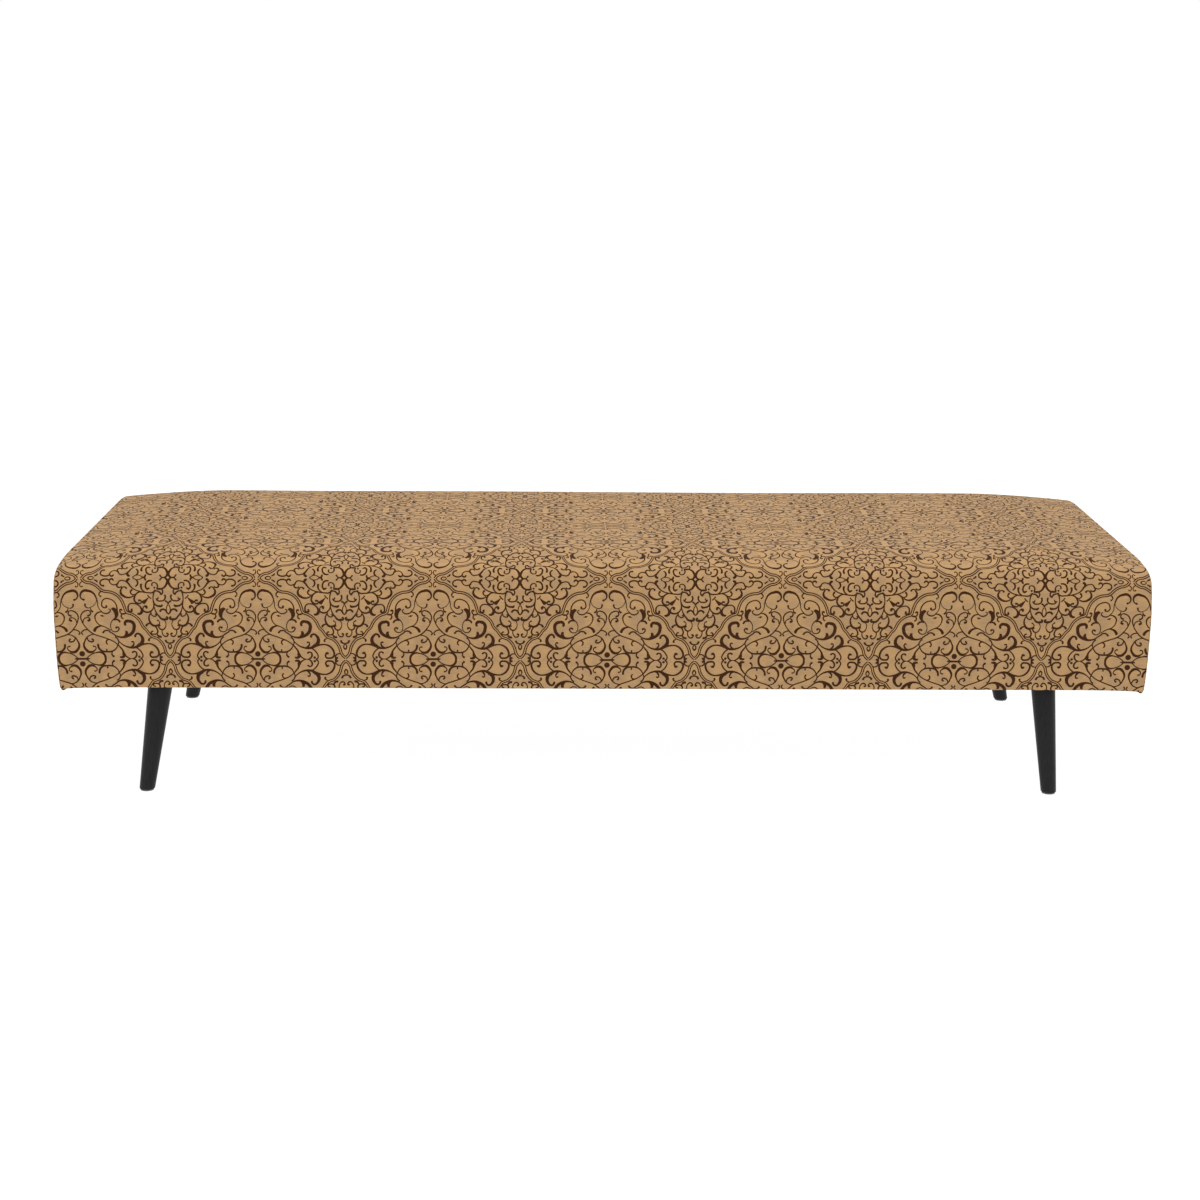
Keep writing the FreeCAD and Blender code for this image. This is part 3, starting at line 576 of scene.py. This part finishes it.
def clothGrid(columns, rows, lay):
    # cloth is cut flat as a grid and then laid over the form; it keeps its flat
    # places as its UV map, in metres
    bm = bmesh.new()
    bmesh.ops.create_grid(bm, x_segments=len(columns) - 1, y_segments=len(rows) - 1, size=1.0)
    flat = bm.loops.layers.uv.new("cloth")
    cut = {}
    for vert in bm.verts:
        i = round((vert.co.x + 1) / 2 * (len(columns) - 1))
        j = round((vert.co.y + 1) / 2 * (len(rows) - 1))
        cut[vert] = (columns[i], rows[j])
    for face in bm.faces:
        for loop in face.loops:
            loop[flat].uv = cut[loop.vert]
    for vert, (across, along) in cut.items():
        vert.co = lay(across, along)
    bm.verts.index_update()
    return bm, {vert.index: place for vert, place in cut.items()}


def steps(stops):
    # values from stop to stop, each stretch in its own number of steps
    values = [stops[0]]
    for count, stop in zip(stops[1::2], stops[2::2]):
        start = values[-1]
        values += [start + (stop - start) * (k + 1) / count for k in range(count)]
    return values


coverSim = {
    "pressure": 4.0,
    "frames": 20,
    "mainCap": 0.0018,          # the foam pushes the cloth out by no more than this
    "endCap": 0.0018,
    "thickness": 0.0015,
    "pucker": 0.0007,
    "puckerLength": 0.031,
    "puckerReach": 0.035,
}


def pressOut(piece, held, cap):
    # the foam presses the cloth out between the edges where it is held
    group = piece.vertex_groups.new(name="held")
    group.add(held, 1.0, "REPLACE")
    before = [v.co.copy() for v in piece.data.vertices]
    outward = [v.normal.copy() for v in piece.data.vertices]
    cloth = piece.modifiers.new("Cloth", "CLOTH")
    cloth.settings.vertex_group_mass = "held"
    cloth.settings.use_pressure = True
    cloth.settings.uniform_pressure_force = coverSim["pressure"]
    cloth.settings.effector_weights.gravity = 0.0
    cloth.settings.quality = 4
    cloth.settings.tension_stiffness = 40.0
    cloth.settings.compression_stiffness = 40.0
    cloth.settings.bending_stiffness = 2.0
    cloth.collision_settings.use_collision = False
    for number in range(1, coverSim["frames"] + 1):
        scene.frame_set(number)
    evaluated = piece.evaluated_get(bpy.context.evaluated_depsgraph_get())
    after = [v.co.copy() for v in evaluated.data.vertices]
    piece.modifiers.remove(cloth)
    piece.vertex_groups.remove(group)
    scene.frame_set(1)
    most = 0.0
    for vert, old, new, out in zip(piece.data.vertices, before, after, outward):
        push = max(0.0, (new - old).dot(out))     # the wadding keeps the cloth from going in
        vert.co = old + out * (push * cap / (cap + push))
        most = max(most, push)
    print(piece.name, "would press out by", round(most, 4), "m, held to", cap)


def giveThickness(piece):
    smooth = piece.modifiers.new("Subdivision", "SUBSURF")
    smooth.levels = smooth.render_levels = 1
    smooth.boundary_smooth = "PRESERVE_CORNERS"
    thick = piece.modifiers.new("Thickness", "SOLIDIFY")
    thick.thickness = coverSim["thickness"]
    thick.offset = -1.0


def pucker(along, distance):
    fade = math.exp(-distance / coverSim["puckerReach"])
    wave = math.sin(2 * math.pi * along / coverSim["puckerLength"] + 3 * noise.noise((along * 9, 0, 0)))
    return coverSim["pucker"] * fade * (1 + wave) / 2      # only outwards, off the wadding


def makeMainPanel():
    end, inset = slab["halfLength"], slab["seamInset"]
    seam = end - inset
    lip = 0.0022
    right = steps([0.0, 34, 0.78, 14, 0.955, 5, end - 0.008, 4, seam, 1, seam + lip])
    columns = [-x for x in reversed(right[1:])] + right
    foot = slab["footRadius"]
    low = foot - foot * math.pi / 2
    a, b, c, d = sectionSizes(0.0)[5]
    front = steps([low - slab["turnedUnder"], 3, low, 3, foot, 13, foot + a, 6, foot + a + b,
                   8, foot + a + b + c, 15, clothMiddle])
    rows = front + [2 * clothMiddle - v for v in reversed(front[:-1])]

    def lay(across, along):
        side = 1 if across >= 0 else -1
        x = min(abs(across), seam)
        over = abs(across) - x
        place, out = section(along, share(x))
        fromEdge = min(along, 2 * clothMiddle - along)
        under = max(0.0, low - fromEdge)
        distance = end - x
        inside = roundIn(distance, slab["seamRadius"]) * (1.0 if fromEdge > foot else 0.0)
        if fromEdge > foot:
            uneven = 0.0011 * noise.noise((across * 3.1, along * 3.7, 2.0))
            place += out * (pucker(along, distance) + uneven * min(1.0, distance * 20))
        place -= out * (inside + over)
        bow = (endPlane(place.z) - end) * (x / end) ** 14
        reach = x + bow - over * 0.4
        reach += slab["seamTuck"] * max(0.0, 1.0 - (seam - x) / slab["tuckReach"])
        reach -= under * (x / end) ** 14          # mitred where it turns under
        sag = cornerSag(end - x, slab["halfDepth"] - abs(place.y), place.z)
        return Vector((side * (reach - 0.5 * sag), place.y, place.z - sag))

    bm, places = clothGrid(columns, rows, lay)
    held = [i for i, (u, v) in places.items()
            if abs(u) > end - 0.012 or min(v, 2 * clothMiddle - v) < slab["railTop"] - slab["bottom"]]
    piece = finishPiece("coverMainPanel", bm, finishes["cover"], ["cover_main_panel"])
    pressOut(piece, held, coverSim["mainCap"])
    giveThickness(piece)
    return piece


def makeEndPanel(name, side):
    end, inset, radius = slab["halfLength"], slab["seamInset"], slab["seamRadius"]
    deep = roundIn(inset, radius)                 # the seam lies this far inside the corner
    lip = 0.0022
    half = slab["halfDepth"]
    part = share(end)
    foot, bottom = slab["footRadius"], slab["bottom"]
    top, edge, crown, lean, shoulder, lengths = sectionSizes(part)

    def topAt(y):
        # height of the slab's outline above a place across it
        y = abs(y)
        flat = half - slab["crownRun"]
        meet = half - edge + edge * math.sin(lean)
        if y <= flat:
            return top
        if y <= meet:
            return top - crown + math.sqrt(max(0.0, crown ** 2 - (y - flat) ** 2))
        return shoulder + math.sqrt(max(0.0, edge ** 2 - (y - half + edge) ** 2))

    limit = half - deep
    nearSide = steps([0.0, 14, 0.25, 8, half - edge, 7, limit - 0.003, 2, limit, 1, limit + lip])
    columns = [-y for y in reversed(nearSide[1:])] + nearSide
    low = foot - foot * math.pi / 2
    tall = top - deep - bottom
    rows = steps([low - slab["turnedUnder"], 3, low, 3, foot, 12, tall - 0.03, 8, tall, 2, tall + lip])

    def lay(across, along):
        y = min(abs(across), limit)
        over = abs(across) - y
        sign = 1 if across >= 0 else -1
        if along <= low:
            under = low - along
            sag = cornerSag(under, half - y, bottom)
            return Vector((side * (end - foot - under - 0.5 * sag),
                           sign * (y - under * (y / limit) ** 10), bottom - sag))
        if along < foot:
            a = (along - foot) / foot
            reach = end - foot + foot * math.cos(a)
            z = bottom + foot + foot * math.sin(a)
            reach -= roundIn(half - y, radius) * max(0.0, (along - low) / (foot - low)) + over * 0.4
            sag = cornerSag(0.0, half - y, z)
            return Vector((side * (reach - 0.5 * sag), sign * (y - over), z - sag))
        up = min(1.0, (along - foot) / (tall - foot))
        beyond = max(0.0, along - tall)
        height = topAt(y) - deep
        z = bottom + foot + up * (height - bottom - foot)
        away = min(half - y + 1e-6, topAt(y) - z)
        reach = endPlane(z) - roundIn(away, radius)
        reach += pucker(across * 1.0, away) + 0.0008 * abs(noise.noise((across * 5, z * 7, side * 3.0)))
        sag = cornerSag(0.0, half - y, z)
        reach -= (over + beyond) * 0.4 + 0.5 * sag
        wide = swell(z, shoulder) * (y / limit) ** 6      # its edges follow the swell of the sides
        return Vector((side * reach, sign * (y + wide - over), z - beyond - sag))

    bm, places = clothGrid(columns, rows, lay)
    if side < 0:
        bmesh.ops.reverse_faces(bm, faces=bm.faces)
    held = [i for i, (u, v) in places.items()
            if abs(u) > limit - 0.012 or v > tall - 0.012 or v < slab["railTop"] - bottom]
    flat = bm.loops.layers.uv["cloth"]
    for face in bm.faces:
        for loop in face.loops:
            loop[flat].uv.x += pattern["axisX"] / 1000
    piece = finishPiece(name, bm, finishes["cover"],
                        ["cover_end_panel_left" if side < 0 else "cover_end_panel_right"])
    pressOut(piece, held, coverSim["endCap"])
    giveThickness(piece)
    return piece


makeMainPanel()
makeEndPanel("coverEndPanelLeft", -1)
makeEndPanel("coverEndPanelRight", 1)
print("cover laid")

legSizes = {
    "inX": 0.823, "inY": 0.300,
    "top": 0.2055, "floor": 0.003,
    "topRadius": 0.023, "footRadius": 0.01425,
    "splay": 12.0,
    "rim": 0.0012,              # softened edge of the turned wood
}
legPlaces = {
    "FrontLeft": (-1, -1, 50.0),
    "FrontRight": (1, -1, 73.0),
    "RearLeft": (-1, 1, 8.0),
    "RearRight": (1, 1, 4.0),
}


def legFrame(xSide, ySide, turnDegrees):
    turned = math.radians(turnDegrees)
    lean = math.atan2(ySide * math.sin(turned), xSide * math.cos(turned))
    place = Matrix.Translation((xSide * legSizes["inX"], ySide * legSizes["inY"], legSizes["top"]))
    return place @ Matrix.Rotation(lean, 4, "Z"), lean


def makeLeg(name, xSide, ySide, turnDegrees):
    # turned round a leaning axis and sawn level at the top and the foot
    size = legSizes
    height = size["top"] - size["floor"]
    splay = math.radians(size["splay"])
    axis = height / math.cos(splay)
    spare = size["topRadius"]
    widening = (size["topRadius"] - size["footRadius"]) / axis * spare
    bm = bmesh.new()
    bmesh.ops.create_cone(bm, cap_ends=True, segments=64, radius1=size["footRadius"] - widening,
                          radius2=size["topRadius"] + widening, depth=axis + 2 * spare)
    bmesh.ops.translate(bm, verts=bm.verts, vec=(0, 0, -axis / 2))
    placing, lean = legFrame(xSide, ySide, turnDegrees)
    bmesh.ops.transform(bm, verts=bm.verts, matrix=placing @ Matrix.Rotation(-splay, 4, "Y"))
    for level, up in ((size["floor"], -1), (size["top"], 1)):
        cut = bmesh.ops.bisect_plane(bm, geom=bm.verts[:] + bm.edges[:] + bm.faces[:], dist=1e-6,
                                     plane_co=(0, 0, level), plane_no=(0, 0, up), clear_outer=True)
        rim = [e for e in cut["geom_cut"] if isinstance(e, bmesh.types.BMEdge)]
        bmesh.ops.holes_fill(bm, edges=rim, sides=0)
    bmesh.ops.bevel(bm, geom=[e for e in bm.edges if abs(e.verts[0].co.z - e.verts[1].co.z) < 1e-6],
                    offset=size["rim"], segments=3, profile=0.5, affect="EDGES", material=-1)
    bmesh.ops.subdivide_edges(bm, edges=[e for e in bm.edges if e.calc_length() > 0.1], cuts=7)
    bmesh.ops.recalc_face_normals(bm, faces=bm.faces)
    node = "leg_" + {"FrontLeft": "front_left", "FrontRight": "front_right",
                     "RearLeft": "rear_left", "RearRight": "rear_right"}[name]
    piece = finishPiece("leg" + name, bm, finishes["beech"], [node])
    return piece


def makeGlides():
    # moulded discs with a nail in the middle
    bm = bmesh.new()
    reach = (legSizes["top"] - legSizes["floor"]) * math.tan(math.radians(legSizes["splay"]))
    for xSide, ySide, turnDegrees in legPlaces.values():
        placing, lean = legFrame(xSide, ySide, turnDegrees)
        foot = placing @ Vector((reach, 0, -legSizes["top"]))
        disc = bmesh.ops.create_cone(bm, cap_ends=True, segments=32, radius1=0.0125, radius2=0.0125,
                                     depth=0.003)["verts"]
        bmesh.ops.translate(bm, verts=disc, vec=foot + Vector((0, 0, 0.0015)))
        edges = {e for v in disc for e in v.link_edges
                 if abs(e.verts[0].co.z - e.verts[1].co.z) < 1e-6 and e.calc_length() < 0.004}
        bmesh.ops.bevel(bm, geom=list(edges), offset=0.0006, segments=2, profile=0.5,
                        affect="EDGES", material=-1)
        nail = bmesh.ops.create_cone(bm, cap_ends=True, segments=12, radius1=0.0028, radius2=0.0034,
                                     depth=0.0006)["verts"]
        bmesh.ops.translate(bm, verts=nail, vec=foot + Vector((0, 0, 0.0004)))
    return finishPiece("footGlides", bm, finishes["nylon"], ["glides"])


for legName, placing in legPlaces.items():
    makeLeg(legName, *placing)
makeGlides()
print("legs turned")

underside = {
    "halfX": 0.975, "halfY": 0.354,
    "level": 0.2066,
    "thickness": 0.0006,
    "opening": 0.033,           # half the square left open round each plate
    "sag": 0.004,
    "staplePitch": 0.045,
    "stapleInset": 0.006,
    "staple": (0.010, 0.0012, 0.0007),
    "screwReach": 0.022,
}


def withLines(values, wanted):
    # move the nearest grid lines onto the edges of the openings
    values = list(values)
    for line in wanted:
        nearest = min(range(len(values)), key=lambda k: abs(values[k] - line))
        values[nearest] = line
    return values


def makeDustCover():
    size = underside
    hole = size["opening"]
    xLines = [s * legSizes["inX"] + e for s in (-1, 1) for e in (-hole, hole)]
    yLines = [s * legSizes["inY"] + e for s in (-1, 1) for e in (-hole, hole)]
    columns = withLines(steps([-size["halfX"], 130, size["halfX"]]), xLines)
    rows = withLines(steps([-size["halfY"], 48, size["halfY"]]), yLines)

    def lay(x, y):
        along = min(1.0, (size["halfX"] - abs(x)) / 0.25)
        across = min(1.0, (size["halfY"] - abs(y)) / 0.2)
        slack = noise.noise((x * 6, y * 6, 5.0)) * 0.0012 + size["sag"] * (0.35 + 0.65 * across)
        fold = 0.0008 * math.sin(x * 70 + 4 * noise.noise((x * 4, y * 4, 1))) * (1 - across)
        return Vector((x, y, size["level"] - slack * along * across - fold * along))

    bm, places = clothGrid(columns, rows, lay)
    gone = [f for f in bm.faces
            if all(abs(abs(f.calc_center_median()[k]) - legSizes[n]) < hole
                   for k, n in ((0, "inX"), (1, "inY")))]
    bmesh.ops.delete(bm, geom=gone, context="FACES")
    bmesh.ops.reverse_faces(bm, faces=bm.faces)
    piece = finishPiece("dustCover", bm, finishes["spunbond"], ["dust_cover"])
    thick = piece.modifiers.new("Thickness", "SOLIDIFY")
    thick.thickness = size["thickness"]
    thick.offset = 0.0
    return piece


def makeStaples():
    # round the edge of the dust cover, each a little out of line
    size = underside
    random.seed(4)
    bm = bmesh.new()
    edgeX, edgeY = size["halfX"] - size["stapleInset"], size["halfY"] - size["stapleInset"]
    places = []
    for half, other, turned in ((edgeX, edgeY, 0.0), (edgeY, edgeX, 90.0)):
        count = round(2 * half / size["staplePitch"])
        for k in range(count + 1):
            along = -half + 2 * half * k / count
            for side in (-1, 1):
                place = (along, side * other) if turned == 0.0 else (side * other, along)
                if k in (0, count) and turned:
                    continue
                places.append((place, turned))
    for (x, y), turned in places:
        wire = bmesh.ops.create_cube(bm, size=1.0)["verts"]
        tilt = math.radians(turned + random.uniform(-9, 9))
        place = Matrix.Translation((x + random.uniform(-.002, .002), y + random.uniform(-.001, .001),
                                    size["level"] - size["thickness"]))
        bmesh.ops.transform(bm, verts=wire, matrix=place @ Matrix.Rotation(tilt, 4, "Z")
                            @ Matrix.Diagonal((*size["staple"], 1.0)))
    bmesh.ops.bevel(bm, geom=[e for e in bm.edges if e.calc_length() < 0.002], offset=0.00025,
                    segments=1, profile=0.5, affect="EDGES", material=-1)
    return finishPiece("underStaples", bm, finishes["zinc"], smooth=False)


def makePlateScrews():
    # four round-headed screws in each leg plate
    bm = bmesh.new()
    for xSide, ySide, turnDegrees in legPlaces.values():
        for a in (-1, 1):
            for b in (-1, 1):
                head = bmesh.ops.create_uvsphere(bm, u_segments=16, v_segments=8, radius=0.0042)["verts"]
                bmesh.ops.scale(bm, verts=head, vec=(1, 1, 0.5))
                bmesh.ops.translate(bm, verts=head, vec=(
                    xSide * legSizes["inX"] + a * underside["screwReach"],
                    ySide * legSizes["inY"] + b * underside["screwReach"], legSizes["top"]))
    return finishPiece("plateScrews", bm, finishes["zinc"])


makeDustCover()
makeStaples()
makePlateScrews()
print("underside covered")

# Finishes of the CAD nodes that stay
nodeFinishes = [
    ("wadding_wrap", "wadding"), ("foam_block", "foam"), ("felt_pad", "felt"),
    ("webbing_", "webbing"), ("rail_", "pine"), ("cross_rail_", "pine"), ("leg_block_", "pine"),
    ("leg_plate_", "zinc"), ("hanger_bolts", "zinc"),
]
for nodeName, node in nodes.items():
    for start, finish in nodeFinishes:
        if nodeName.startswith(start):
            node.data.materials.clear()
            node.data.materials.append(finishes[finish])
print("CAD nodes finished")

studio = {
    "world": 1.0,
    "floorColour": "#6c6c6c",
    "floorGlow": 0.95,           # keeps the floor pale, with only a faint shadow
    "lights": [                 # name, place, aimed at, width, depth, watts
        ("overhead", (0.0, -0.5, 3.2), (0.0, 0.0, 0.4), 4.0, 2.4, 48.0),
        ("frontLeft", (-2.6, -4.2, 2.2), (0.0, 0.0, 0.3), 2.6, 2.0, 8.0),
        ("frontRight", (3.0, -4.0, 2.0), (0.0, 0.0, 0.3), 2.6, 2.0, 4.0),
    ],
}


def makeStudio():
    floorMaterial, tree, shader = newMaterial("paintedStudioFloor", Roughness=0.9)
    shader.inputs["Base Color"].default_value = linear(studio["floorColour"])
    shader.inputs["Emission Color"].default_value = (1.0, 1.0, 1.0, 1.0)
    shader.inputs["Emission Strength"].default_value = studio["floorGlow"]
    bm = bmesh.new()
    bmesh.ops.create_grid(bm, x_segments=4, y_segments=4, size=300.0)
    mesh = bpy.data.meshes.new("studioFloor")
    bm.to_mesh(mesh)
    bm.free()
    floor = bpy.data.objects.new("studioFloor", mesh)
    mesh.materials.append(floorMaterial)
    scene.collection.objects.link(floor)
    world = bpy.data.worlds.new("studio")
    scene.world = world
    world.use_nodes = True
    sky = world.node_tree.nodes["Background"]
    sky.inputs["Color"].default_value = (1.0, 1.0, 1.0, 1.0)
    sky.inputs["Strength"].default_value = studio["world"]
    for name, place, aim, width, depth, watts in studio["lights"]:
        lamp = bpy.data.lights.new(name, "AREA")
        lamp.shape = "RECTANGLE"
        lamp.size, lamp.size_y, lamp.energy = width, depth, watts
        holder = bpy.data.objects.new(name, lamp)
        holder.location = place
        holder.rotation_mode = "QUATERNION"
        holder.rotation_quaternion = (Vector(aim) - Vector(place)).to_track_quat("-Z", "Y")
        scene.collection.objects.link(holder)
    scene.view_settings.view_transform = "Standard"
    scene.view_settings.look = "None"
    scene.view_settings.exposure = 0.0
    scene.view_settings.gamma = 1.0


cameraSettings = {
    "place": (-0.086, -4.444, 1.336),
    "down": 13.27, "towardsRight": 1.08, "roll": 0.46,
    "lens": 69.0,
}


def makeCamera():
    size = cameraSettings
    down, heading, roll = (math.radians(size[k]) for k in ("down", "towardsRight", "roll"))
    ahead = Vector((math.sin(heading) * math.cos(down), math.cos(heading) * math.cos(down),
                    -math.sin(down)))
    right = ahead.cross(Vector((0, 0, 1))).normalized()
    up = right.cross(ahead)
    across = right * math.cos(roll) + up * math.sin(roll)
    upright = up * math.cos(roll) - right * math.sin(roll)
    lens = bpy.data.cameras.new("photoCamera")
    lens.lens, lens.sensor_width = size["lens"], 36.0
    lens.clip_start, lens.clip_end = 0.05, 100.0
    camera = bpy.data.objects.new("photoCamera", lens)
    turned = Matrix((across, upright, -ahead)).transposed().to_4x4()
    camera.matrix_world = Matrix.Translation(size["place"]) @ turned
    scene.collection.objects.link(camera)
    scene.camera = camera


makeStudio()
makeCamera()
print("studio lit")

bpy.context.view_layer.update()
